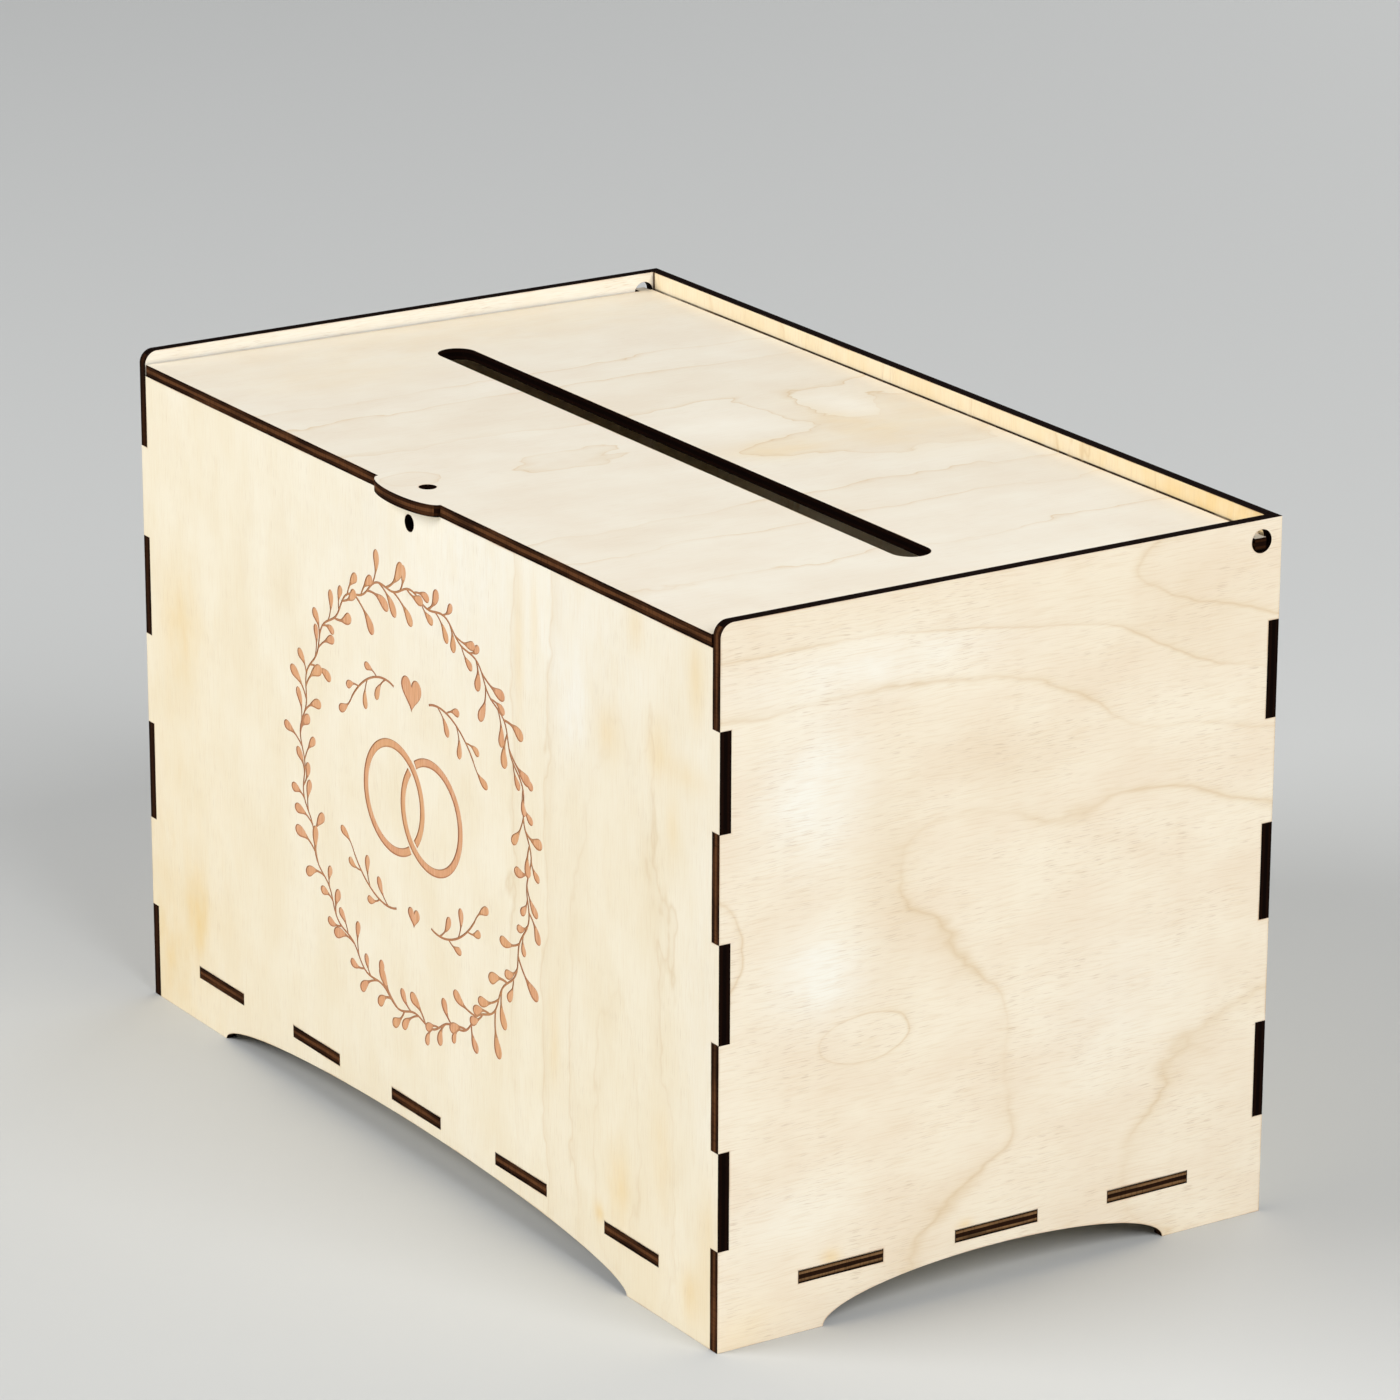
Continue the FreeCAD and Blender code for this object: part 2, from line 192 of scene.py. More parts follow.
def side_wall():
    """Right side, front to back: notches at both ends, an arch below, a round corner at the top front."""
    notch = REAR_FACE - PLY - JOINT_GAP
    rear_edge = []
    for low, high in FINGERS:
        bottom, top = low - JOINT_GAP, high + JOINT_GAP
        rear_edge += [(REAR_FACE, bottom), (notch, bottom), (notch, top), (REAR_FACE, top)]
    front_edge = [(2 * MIDDLE - y, z) for y, z in reversed(rear_edge)]
    half_arch = DEPTH / 2 - SIDE_FOOT
    arch = arc((MIDDLE, 0), (half_arch, ARCH_RISE), 180, 0, ARCH_STEPS)
    turn = (FRONT_FACE + CORNER_RADIUS, HEIGHT - CORNER_RADIUS)
    corner = arc(turn, (CORNER_RADIUS, CORNER_RADIUS), 90, 180, CORNER_STEPS)
    floor_line = [(FRONT_FACE, 0)] + arch + [(REAR_FACE, 0)]
    return floor_line + rear_edge + [(REAR_FACE, HEIGHT)] + corner + front_edge


def tab_slots(starts):
    """Slots for the ends of the base's tabs."""
    bottom, top = BASE_LOW.z - TAB_GAP, BASE_HIGH.z + TAB_GAP
    return [rectangle(start, start + TAB_LENGTH, bottom, top) for start in starts]


front_tie = MOUNTS["front_tie_hole"]
front_tie_place = (front_tie["pos_m"][0] / MM, front_tie["pos_m"][2] / MM)
front_tie_hole = circle(front_tie_place, front_tie["dims"]["r_mm"])
front_cut = (cross_wall(FRONT_HIGH.z), tab_slots(FRONT_TABS) + [front_tie_hole])
back_cut = (cross_wall(HEIGHT), tab_slots(FRONT_TABS))
right_cut = (side_wall(), tab_slots(SIDE_TABS) + [circle((HINGE.y, HINGE.z), HINGE_RADIUS)])
left_cut = (mirrored(right_cut[0]), [mirrored(hole) for hole in right_cut[1]])
print("points in a cross wall and a side:", len(front_cut[0]), len(right_cut[0]))

# %% [markdown]
# ### The base and the lid
# The base is the same after half a turn, so half of its outline is drawn and turned. The lid is drawn about
# its hinge axis, as in the CAD: y runs from the axis to the back. Its ears are plain square lugs that turn in
# the round holes.

# %% Outlines of the base and the lid
def base_outline():
    """The floor of the box with the tabs on its four sides."""
    side = INSIDE - JOINT_GAP
    front = FRONT_FACE + PLY + JOINT_GAP
    half = [(-side, front)]
    for start in FRONT_TABS:
        left, right = start + TAB_GAP, start + TAB_LENGTH - TAB_GAP
        half += [(left, front), (left, FRONT_FACE), (right, FRONT_FACE), (right, front)]
    half.append((side, front))
    for start in SIDE_TABS:
        near, far = start + TAB_GAP, start + TAB_LENGTH - TAB_GAP
        half += [(side, near), (WIDTH / 2, near), (WIDTH / 2, far), (side, far)]
    return half + half_turn(half)


def lid_outline(front, rear):
    """The flap with its tongue and its two ears."""
    side = INSIDE - LID_END_GAP
    half_ear = EAR_WIDTH / 2
    tongue = arc((0, front), (TONGUE_WIDTH / 2, TONGUE_REACH), 180, 360, TONGUE_STEPS)
    ear = [(side, -half_ear), (LID_HIGH.x, -half_ear), (LID_HIGH.x, half_ear), (side, half_ear)]
    rear_edge = [(side, rear), (-side, rear)]
    return [(-side, front)] + tongue + [(side, front)] + ear + rear_edge + mirrored(ear)


def card_slot(middle):
    """A long slot with round ends."""
    radius = CARD_SLOT_WIDTH / 2
    reach = INSIDE - LID_END_GAP - CARD_SLOT_MARGIN - radius
    right_end = arc((reach, middle), (radius, radius), -90, 90, CIRCLE_STEPS // 2)
    left_end = arc((-reach, middle), (radius, radius), 90, 270, CIRCLE_STEPS // 2)
    return right_end + left_end


lid_front = FRONT_FACE - HINGE.y
lid_rear = BACK_LOW.y - LID_BACK_GAP - HINGE.y
lid_tie = MOUNTS["lid_tie_hole"]
LID_NORMAL = Vector(lid_tie["axis"]).normalized()
LID_BACKWARD = LID_NORMAL.cross(Vector((1, 0, 0)))
lid_tie_place = LID_BACKWARD.dot(Vector(lid_tie["pos_m"]) / MM - HINGE)
lid_tie_hole = circle((0, lid_tie_place), lid_tie["dims"]["r_mm"])
slot_middle = (lid_rear + lid_front - TONGUE_REACH) / 2
lid_cut = (lid_outline(lid_front, lid_rear), [card_slot(slot_middle), lid_tie_hole])
base_cut = (base_outline(), [])
print(f"lid from {lid_front:.1f} to {lid_rear:.1f} mm about its hinge axis")

# %% [markdown]
# ## Wires instead of node clicking
# Materials and Geometry Nodes are both trees of nodes. Written out call by call they are hard to read, so one
# small class wraps an output socket: arithmetic on it adds Math nodes, `node` adds any other node, and a
# formula in the script looks like the formula it builds.

# %% A socket that can be calculated with
def pick_socket(sockets, key):
    """Find a socket by its place, its identifier or its name."""
    if isinstance(key, int):
        return sockets[key]
    for socket in sockets:
        if socket.identifier == key:
            return socket
    return sockets[key]


def set_inputs(node, values):
    """Set a node's sockets to numbers and colours, or join wires to them."""
    for name, value in values.items():
        target = pick_socket(node.inputs, name)
        if isinstance(value, Wire):
            value.tree.links.new(value.socket, target)
        else:
            target.default_value = value


class Wire:
    """An output socket of a node. Sums and products of wires add Math nodes to the same tree."""

    def __init__(self, tree, socket=None):
        self.tree = tree
        self.socket = socket

    def node(self, kind, settings, values, output=0):
        """Add a node: its settings first, then values or wires for its sockets."""
        made = self.tree.nodes.new(kind)
        for name, setting in settings.items():
            if name == "stops":
                fill_ramp(made.color_ramp, setting)
            else:
                setattr(made, name, setting)
        set_inputs(made, values)
        return Wire(self.tree, pick_socket(made.outputs, output))

    def out(self, name):
        """Another output of the same node."""
        return Wire(self.tree, pick_socket(self.socket.node.outputs, name))

    def math(self, operation, *numbers):
        """A Math node on this wire and on further numbers or wires."""
        return self.node("ShaderNodeMath", {"operation": operation}, dict(enumerate((self, *numbers))))

    def __add__(self, other):
        return self.math("ADD", other)

    __radd__ = __add__

    def __sub__(self, other):
        return self.math("SUBTRACT", other)

    def __rsub__(self, other):
        return self.math("MULTIPLY_ADD", -1.0, other)

    def __mul__(self, other):
        return self.math("MULTIPLY", other)

    __rmul__ = __mul__

    def __truediv__(self, other):
        return self.math("DIVIDE", other)

    def __rtruediv__(self, other):
        return self.math("POWER", -1.0) * other

    def ranged(self, low, high, to_low=0.0, to_high=1.0):
        """Stretch the values between two limits to a new range, held at its ends."""
        values = {"Value": self, "From Min": low, "From Max": high, "To Min": to_low, "To Max": to_high}
        return self.node("ShaderNodeMapRange", {"clamp": True}, values)

    def between(self, first, second):
        """The mix of two colours, with this wire as the share of the second."""
        settings = {"data_type": "RGBA", "clamp_factor": True}
        values = {"Factor_Float": self, "A_Color": first, "B_Color": second}
        return self.node("ShaderNodeMix", settings, values, "Result_Color")

    def tinted(self, colour, share):
        """This colour, tinted with a share of another one."""
        return share.between(self, colour)


def fill_ramp(ramp, stops):
    """Set a colour ramp's stops, given as (position, colour)."""
    while len(ramp.elements) < len(stops):
        ramp.elements.new(1.0)
    for element, (position, colour) in zip(ramp.elements, stops):
        element.position = position
        element.color = colour


print("Wire overloads + - * / and makes any other node")

# %% [markdown]
# ## The colours of the wood
# Colours are easier to pick as a screen shows them, from 0 to 255, and Blender calculates with linear light,
# so one function turns the first into the second.

# %% Colours
def screen(red, green, blue):
    """A linear colour from the three values that a screen shows."""
    def linear(value):
        share = value / 255
        return share / 12.92 if share <= 0.04045 else ((share + 0.055) / 1.055) ** 2.4
    return (linear(red), linear(green), linear(blue), 1.0)


CREAM = screen(250, 238, 212)
PALE = screen(255, 250, 236)
TAN_LINE = screen(214, 180, 124)
PORE = screen(192, 162, 128)
AMBER = screen(244, 206, 124)
TOAST = screen(190, 140, 86)
ENGRAVED_FILL = screen(228, 168, 125)
ENGRAVED_LINE = screen(189, 131, 92)
CHAR_BLACK = screen(14, 6, 4)
CHAR_DARK = screen(28, 13, 7)
WARM_CHAR_AND_PAINTED_SHADE = screen(40, 22, 11)
CHAR_DEEP = screen(54, 30, 15)
CHAR_BROWN = screen(98, 62, 37)
CHAR_GOLDEN = screen(136, 102, 68)
print("veneer cream in linear light:", [round(value, 3) for value in CREAM[:3]])

# %% [markdown]
# ### Veneer
# Birch veneer is peeled off the log, so its figure is a map of the growth rings: thin tan contour lines that
# wander along the grain and close into ovals where the log was uneven. Contour lines are what a smooth field
# gives when only its whole numbers are inked. So the material makes such a field from noise stretched along
# the grain, and swellings and rises put the main rings where they are wanted. Fine fibres, short pores,
# cloudy light patches and a few amber mineral stains go on top. All of it reads the sheet's own map of the
# grain, in millimetres: u runs along the grain and v across it.

# %% Start a material
def start_material(name):
    """A material, its shader node, and a wire to start from."""
    material = bpy.data.materials.new(name)
    material.use_nodes = True
    shader = material.node_tree.nodes["Principled BSDF"]
    return material, shader, Wire(material.node_tree)


def grain_axes(wire):
    """The sheet's grain map: along the grain and across it, in millimetres."""
    grain = wire.node("ShaderNodeUVMap", {"uv_map": "grain"}, {})
    along = grain.node("ShaderNodeSeparateXYZ", {}, {"Vector": grain}, "X")
    return along, along.out("Y")


def noise(along, across, long, short, detail=2.0):
    """Noise whose blobs are about so many millimetres long and short, between 0 and 1."""
    place = along.node("ShaderNodeCombineXYZ", {}, {"X": along / long, "Y": across / short})
    values = {"Vector": place, "Scale": 1.0, "Detail": detail, "Roughness": 0.5}
    return place.node("ShaderNodeTexNoise", {"noise_dimensions": "2D"}, values)


def hump(centre, reach, height, power=2.0):
    """A swelling round a place in the grain map. A higher power gives it a flat top and steep sides."""
    def swell(along, across):
        u = ((along - centre[0]) / reach[0]).math("ABSOLUTE").math("POWER", power)
        v = ((across - centre[1]) / reach[1]).math("ABSOLUTE").math("POWER", power)
        return (0 - (u + v)).math("EXPONENT") * height
    return swell


def rise(middle, width, height=1.0):
    """A rise from one side of a line along the grain to the other."""
    def swell(along, across):
        return (((across - middle) / width).math("TANH") * 0.5 + 0.5) * height
    return swell


print("grain helpers ready")

# %% Growth rings
WANDER_SIZES = ((150, 62), (34, 13), (8, 4))
FAINT_STRETCH = (60, 40)


def growth_rings(along, across, seed, figure):
    """How strongly a growth ring is drawn at each place, and which ring the place belongs to."""
    far = along + seed
    field = across / figure["gap"] + figure["start"]
    for size, amount in zip(WANDER_SIZES, figure["wander"]):
        field = field + (noise(far, across, *size, 1.0) - 0.5) * amount
    for swell in figure["swells"]:
        field = field + swell(along, across)
    phase = field.math("FRACT")
    line = figure["line"]
    shade = phase.ranged(0, figure["shade"], 1, 0)
    crisp = phase.ranged(0, line, 1, 0).math("MAXIMUM", phase.ranged(1 - line, 1))
    ink = (shade * shade * 0.5).math("MAXIMUM", crisp * crisp)
    ink = ink * noise(far, across, *FAINT_STRETCH, 1.0).ranged(0.36, 0.58, 0.3, 1.0)
    return ink, field.math("FLOOR")


print(len(WANDER_SIZES), "sizes of noise make the rings wander")

# %% Veneer
CLOUD_SIZE = (30, 18)
WAVER_SIZE = (22, 9)
WAVER_REACH = 1.8
FIBRE_SIZE = (11, 0.42)
PORE_SIZE = (5.5, 0.26)
PORE_PATCH = (26, 18)
TOAST_PATCH = (14, 14)
RAGGED_SIZE = (12, 6)
FIBRE_RELIEF = 0.00002
VENEER_SHINE = 0.3


def birch_veneer(name, tone, figure, seed, pore_share, patches):
    """Bare sanded birch: rings, pores, clouds, stains, painted light and shade, a toasted border at cuts."""
    material, shader, start = start_material(name)
    along, across = grain_axes(start)
    far = along + seed
    ink, ring = growth_rings(along, across, seed, figure)
    ring_tone = start.node("ShaderNodeTexWhiteNoise", {"noise_dimensions": "1D"}, {"W": ring})
    clouds = noise(far, across, *CLOUD_SIZE, 5.0)
    wavering = across + (noise(far, across, *WAVER_SIZE) - 0.5) * WAVER_REACH
    fibres = noise(far, wavering, *FIBRE_SIZE, 3.0)
    pores = noise(far, wavering, *PORE_SIZE, 1.0).ranged(0.63, 0.73)
    pores = pores * noise(far, across, *PORE_PATCH).ranged(0.38, 0.62, 0.15, 1.0)
    cut = start.node("ShaderNodeAttribute", {"attribute_name": "scorch"}, {}, "Fac")
    toast = cut.math("POWER", 4) * noise(far, across, *TOAST_PATCH).ranged(0.4, 0.75, 0.1, 0.75)

    colour = clouds.ranged(0.32, 0.68).between(*tone)
    ragged = noise(far, across, *RAGGED_SIZE, 3.0).ranged(0.3, 0.7, 0.6, 1.0)
    for patch_colour, places in patches:
        colour = colour.tinted(patch_colour, sum(place(along, across) for place in places) * ragged)
    colour = colour.tinted(TAN_LINE, ring_tone.ranged(0.72, 1.0, 0.0, 0.08))
    colour = colour.tinted(TAN_LINE, fibres.ranged(0.48, 0.78, 0.0, figure["fibres"]))
    colour = colour.tinted(TAN_LINE, ink * figure["share"])
    colour = colour.tinted(PORE, pores * pore_share)
    colour = colour.tinted(TOAST, toast)
    relief = {"Height": fibres * 0.6 - pores, "Strength": 0.35, "Distance": FIBRE_RELIEF}
    set_inputs(shader, {
        "Base Color": colour, "Roughness": fibres.ranged(0.3, 0.7, 0.56, 0.7),
        "Normal": start.node("ShaderNodeBump", {}, relief), "Specular IOR Level": VENEER_SHINE})
    return material


print("birch_veneer ready")

# %% [markdown]
# ### Cut edges
# The beam chars the whole edge, and end grain more than long grain. The fibres of the middle ply run across
# those of the two outer plies. So a cut across the face grain leaves a brown middle between dark outer plies,
# and a cut along it leaves a black middle. The map of an edge runs along the cut in u and through the sheet
# in v, so one colour ramp across the thickness draws the plies and noise along the cut breaks them up. Soot
# hardly shines.

# %% Charred edge
PLY_WOBBLE = (22, 3.0)
WOBBLE_SHARE = 0.12
BEAM_STROKE = (0.5, 6.0)
CHAR_PATCH = (16, 2.2)
CHAR_SHINE = 0.02


def charred_edge(name, outer_ply, middle_ply):
    """The stripes of three charred plies, with the tones of the outer ones and of the middle one."""
    material, shader, start = start_material(name)
    along, through = grain_axes(start)
    wobble = noise(along, through, *PLY_WOBBLE) * WOBBLE_SHARE - WOBBLE_SHARE / 2
    half = [(0.00, CHAR_BLACK), (0.04, CHAR_BLACK), (0.20, outer_ply), (0.31, outer_ply),
            (0.335, CHAR_BLACK), (0.37, middle_ply)]
    stops = half + [(1 - place, tone) for place, tone in reversed(half)]
    ramp = start.node("ShaderNodeValToRGB", {"stops": stops}, {"Fac": through / PLY + wobble})
    strokes = noise(along, through, *BEAM_STROKE)
    patches = noise(along, through, *CHAR_PATCH, 3.0)
    colour = ramp.tinted(middle_ply, patches.ranged(0.5, 0.75, 0.0, 0.5))
    colour = colour.tinted(CHAR_BLACK, patches.ranged(0.5, 0.25, 0.0, 0.6))
    colour = colour.tinted(CHAR_BLACK, strokes.ranged(0.5, 0.8, 0.0, 0.45))
    relief = {"Height": strokes, "Strength": 0.4, "Distance": 2 * FIBRE_RELIEF}
    set_inputs(shader, {
        "Base Color": colour, "Roughness": patches.ranged(0.3, 0.7, 0.75, 0.9),
        "Normal": start.node("ShaderNodeBump", {}, relief), "Specular IOR Level": CHAR_SHINE})
    return material


black_char = charred_edge("black_char", CHAR_DARK, CHAR_BLACK)
umber_char = charred_edge("umber_char", CHAR_DEEP, CHAR_DARK)
golden_char = charred_edge("golden_char", CHAR_GOLDEN, WARM_CHAR_AND_PAINTED_SHADE)
dark_char = charred_edge("dark_char", WARM_CHAR_AND_PAINTED_SHADE, CHAR_DEEP)
brown_char = charred_edge("brown_char", CHAR_DEEP, CHAR_BROWN)
print("black, umber and golden along the grain, dark and brown across it")

# %% [markdown]
# ### Engraving
# At low power the beam only toasts the wood. The outlines of a shape are traced slowly and come out darker,
# and the shape between them is swept line by line, which lets the grain show through in paler streaks.

# %% Engraved wood
STREAK_SIZE = (7, 0.5)
DRIFT_SIZE = (30, 30)
ENGRAVED_SHINE = 0.2


def engraved_wood(name, colour_at_rest, streak_share):
    """Toasted wood on the floor of the engraving."""
    material, shader, start = start_material(name)
    along, across = grain_axes(start)
    streaks = noise(along, across, *STREAK_SIZE, 3.0)
    drift = noise(along, across, *DRIFT_SIZE)
    colour = drift.ranged(0.4, 0.65, 0.0, 0.12).between(colour_at_rest, AMBER)
    colour = colour.tinted(CREAM, streaks.ranged(0.5, 0.8, 0.0, streak_share))
    colour = colour.tinted(ENGRAVED_LINE, streaks.ranged(0.5, 0.25, 0.0, 0.5))
    set_inputs(shader, {"Base Color": colour, "Roughness": streaks.ranged(0.3, 0.7, 0.66, 0.82),
                        "Specular IOR Level": ENGRAVED_SHINE})
    return material


engraved_line = engraved_wood("engraved_line", ENGRAVED_LINE, 0.12)
engraved_fill = engraved_wood("engraved_fill", ENGRAVED_FILL, 0.25)
print("made", engraved_line.name, "and", engraved_fill.name)

# %% [markdown]
# ## The engraving's shapes
# A leafy wreath surrounds the middle of the front. Each leaf is a stroke with a bent spine: a thin stalk that
# swells to a round tip. A stroke has an outline and, inside it, a narrower outline for the part that is
# filled.

# %% Strokes
LINE_HALF = 0.34


def bent(start, pull_start, pull_end, end, shares):
    """Points of a cubic Bezier line at the given shares of its run."""
    a, b, c, d = (Vector(point) for point in (start, pull_start, pull_end, end))
    return [a * (1 - t) ** 3 + b * 3 * t * (1 - t) ** 2 + c * 3 * t * t * (1 - t) + d * t ** 3
            for t in shares]


def stroke(spine, widths):
    """The closed outline of a line, from its half-width at each point, counter-clockwise."""
    last = len(spine) - 1
    right_side, left_side = [], []
    for index, (point, half) in enumerate(zip(spine, widths)):
        run = spine[min(index + 1, last)] - spine[max(index - 1, 0)]
        side = Vector((-run.y, run.x)).normalized() * half
        right_side.append(point - side)
        left_side.append(point + side)
    return right_side + left_side[::-1]


def inked(spine, widths):
    """A stroke's outline and the outline of the fill inside it, as (loop, is fill)."""
    shapes = [(stroke(spine, widths), False)]
    wide = [k for k, half in enumerate(widths) if half > 1.5 * LINE_HALF]
    if len(wide) > 2:
        part = slice(wide[0], wide[-1] + 1)
        shapes.append((stroke(spine[part], [half - LINE_HALF for half in widths[part]]), True))
    return shapes


print(f"lines {2 * LINE_HALF:.2f} mm wide")

# %% Leaves
LEAF_STEPS = 17
DROP_WIDEST = 0.74
DROP_TAPER = 2.4


def drop(t):
    """How wide a drop is along its length, from 0 at its point to 1, with a round end."""
    if t < DROP_WIDEST:
        return math.sin(math.pi / 2 * t / DROP_WIDEST) ** DROP_TAPER
    return math.sqrt(1 - ((t - DROP_WIDEST) / (1 - DROP_WIDEST)) ** 2)


def leaf(length, bend, stalk, half):
    """One leaf on its stalk, growing from the origin along x, with closer points towards its round tip."""
    shares = [math.sin(math.pi / 2 * k / LEAF_STEPS) for k in range(LEAF_STEPS + 1)]
    pulls = (0.4 * length, -0.25 * bend), (0.8 * length, 0.3 * bend)
    blades = [max(t - stalk, 0) / (1 - stalk) for t in shares]
    widths = [max(LINE_HALF * min(1, 3 * (1 - t)), half * drop(t)) for t in blades]
    return inked(bent((0, 0), *pulls, (length, bend), shares), widths)


LEAVES = [leaf(11.0, 3.2, 0.12, 1.7), leaf(8.6, -2.2, 0.1, 1.55),
          leaf(12.0, 2.6, 0.2, 1.65), leaf(7.0, 2.4, 0.05, 1.45)]
print(len(LEAVES), "leaf shapes of", len(LEAVES[0][0][0]), "points")

# %% [markdown]
# Drawing a hundred leaves one by one would be slow, and a ring of equal leaves looks stamped. Geometry Nodes
# set them along a waving ring instead, alternately inwards and outwards, and a seeded random choice turns and
# sizes each one.

# %% The leaves as objects
def leaf_objects():
    """Each leaf shape as a flat mesh whose faces know whether they are fill."""
    made = []
    for number, shapes in enumerate(LEAVES):
        mesh = bpy.data.meshes.new(f"leaf_{number}")
        points = [(p.x, p.y, 0) for loop, _ in shapes for p in loop]
        ends = [sum(len(loop) for loop, _ in shapes[:k]) for k in range(len(shapes) + 1)]
        mesh.from_pydata(points, [], [list(range(a, b)) for a, b in zip(ends, ends[1:])])
        fills = [int(fill) for _, fill in shapes]
        mesh.attributes.new("fill", "INT", "FACE").data.foreach_set("value", fills)
        made.append(bpy.data.objects.new(mesh.name, mesh))
        bpy.context.scene.collection.objects.link(made[-1])
    return made


print("each leaf keeps its outline and its fill apart")

# %% The wreath's node tree
WREATH_INPUTS = {"Ring radius": 61.8, "Wave height": 1.2, "Waves": 21.0, "Leaves": 102,
                 "Line width": 2 * LINE_HALF, "Smallest leaf": 0.82, "Largest leaf": 1.16,
                 "Opening": math.radians(36), "Seed": 11}
RING_STEPS = 260
OPENING_SPREAD = (0.62, 1.3)


def wreath_tree(leaves):
    """Leaves along a waving ring."""
    tree = bpy.data.node_groups.new("leaf_wreath", "GeometryNodeTree")
    tree.interface.new_socket("Geometry", in_out="INPUT", socket_type="NodeSocketGeometry")
    for name, value in WREATH_INPUTS.items():
        kind = "NodeSocketInt" if isinstance(value, int) else "NodeSocketFloat"
        tree.interface.new_socket(name, in_out="INPUT", socket_type=kind)
    tree.interface.new_socket("Geometry", in_out="OUTPUT", socket_type="NodeSocketGeometry")
    given = Wire(tree).node("NodeGroupInput", {}, {})

    round_ring = given.node("GeometryNodeCurvePrimitiveCircle", {"mode": "RADIUS"},
                            {"Resolution": RING_STEPS, "Radius": given.out("Ring radius")})
    place = given.node("GeometryNodeInputPosition", {}, {})
    x = place.node("ShaderNodeSeparateXYZ", {}, {"Vector": place}, "X")
    turn = x.out("Y").math("ARCTAN2", x)
    wave = (turn * given.out("Waves")).math("SINE") * given.out("Wave height")
    outward = place.node("ShaderNodeVectorMath", {"operation": "NORMALIZE"}, {0: place})
    shift = outward.node("ShaderNodeVectorMath", {"operation": "SCALE"}, {0: outward, "Scale": wave})
    ring = given.node("GeometryNodeSetPosition", {}, {"Geometry": round_ring, "Offset": shift})

    half_line = given.out("Line width") * 0.5
    left_end = given.node("ShaderNodeCombineXYZ", {}, {"X": half_line})
    right_end = given.node("ShaderNodeCombineXYZ", {}, {"X": 0 - half_line})
    profile = given.node("GeometryNodeCurvePrimitiveLine", {}, {"Start": left_end, "End": right_end})
    stem = given.node("GeometryNodeCurveToMesh", {}, {"Curve": ring, "Profile Curve": profile})

    points = given.node("GeometryNodeCurveToPoints", {"mode": "COUNT"},
                        {"Curve": ring, "Count": given.out("Leaves")})
    index = given.node("GeometryNodeInputIndex", {}, {})
    side = index.math("MODULO", 2.0) * 2 - 1
    heading = points.node("ShaderNodeSeparateXYZ", {}, {"Vector": points.out("Tangent")}, "X")
    backward = (0 - heading.out("Y")).math("ARCTAN2", 0 - heading)

    def chance(low, high, number):
        return given.node("FunctionNodeRandomValue", {"data_type": "FLOAT"},
                          {"Min_001": low, "Max_001": high, "Seed": given.out("Seed") + number}, "Value_001")

    angle = backward + side * given.out("Opening") * chance(*OPENING_SPREAD, 1)
    size = chance(given.out("Smallest leaf"), given.out("Largest leaf"), 2)
    rotation = given.node("ShaderNodeCombineXYZ", {}, {"Z": angle})
    scale = given.node("ShaderNodeCombineXYZ", {}, {"X": size, "Y": size * side, "Z": size})
    shapes = given.node("GeometryNodeJoinGeometry", {}, {})
    for item in reversed(leaves):
        one = given.node("GeometryNodeObjectInfo", {}, {"Object": item, "As Instance": True}, "Geometry")
        tree.links.new(one.socket, shapes.socket.node.inputs[0])
    placed = given.node("GeometryNodeInstanceOnPoints", {}, {
        "Points": points, "Instance": shapes, "Pick Instance": True,
        "Instance Index": chance(0.0, len(leaves) - 0.01, 3).math("FLOOR"),
        "Rotation": rotation, "Scale": scale})
    both = given.node("GeometryNodeJoinGeometry", {}, {"Geometry": stem})
    tree.links.new(placed.socket, both.socket.node.inputs[0])
    real = given.node("GeometryNodeRealizeInstances", {}, {"Geometry": both})
    coloured = given.node("GeometryNodeSetMaterial", {}, {"Geometry": real, "Material": engraved_fill})
    end = tree.nodes.new("NodeGroupOutput")
    tree.links.new(coloured.socket, end.inputs["Geometry"])
    return tree


print("wreath inputs:", ", ".join(WREATH_INPUTS))

# %% Grow the wreath
WREATH_CENTRE = Vector((0.0, 105.0))


def counter_clockwise(loop):
    """The loop, turned round if it runs clockwise."""
    area = sum(a.cross(b) for a, b in zip(loop, loop[1:] + loop[:1]))
    return loop if area > 0 else loop[::-1]


def grow_wreath():
    """Run the node tree and read its faces back as flat loops, as (loop, is fill)."""
    leaves = leaf_objects()
    tree = wreath_tree(leaves)
    holder = bpy.data.objects.new("wreath", bpy.data.meshes.new("wreath"))
    bpy.context.scene.collection.objects.link(holder)
    modifier = holder.modifiers.new("leaf_wreath", "NODES")
    modifier.node_group = tree
    for item in tree.interface.items_tree:
        if item.in_out == "INPUT" and item.name in WREATH_INPUTS:
            modifier[item.identifier] = WREATH_INPUTS[item.name]
    grown = bpy.data.meshes.new_from_object(holder.evaluated_get(bpy.context.evaluated_depsgraph_get()))
    fills = [item.value for item in grown.attributes["fill"].data]
    points = [vertex.co.xy + WREATH_CENTRE for vertex in grown.vertices]
    shapes = [(counter_clockwise([points[k] for k in face.vertices]), bool(fills[face.index]))
              for face in grown.polygons]
    for item in leaves + [holder]:
        bpy.data.objects.remove(item)
    bpy.data.meshes.remove(grown)
    return shapes


wreath = grow_wreath()
reach = [(point - WREATH_CENTRE).length for loop, _ in wreath for point in loop]
print(f"{len(wreath)} loops, {min(reach):.1f} to {max(reach):.1f} mm from the middle")

# %% [markdown]
# Inside the wreath stand two linked rings between two pairs of sprigs with the same leaves, and a heart above
# and below. Where one ring passes under the other its band stops short, so the two look linked although both
# are flat.

# %% Linked rings and hearts
RING_RADIUS = 15.5
RING_HALF = 1.25
RING_APART = 10.2
RING_CLEAR = 0.75
HEART_STEPS = 48
UPPER_HEART = ((0, 138.5), 11.0)
LOWER_HEART = ((0, 73), 6.5)


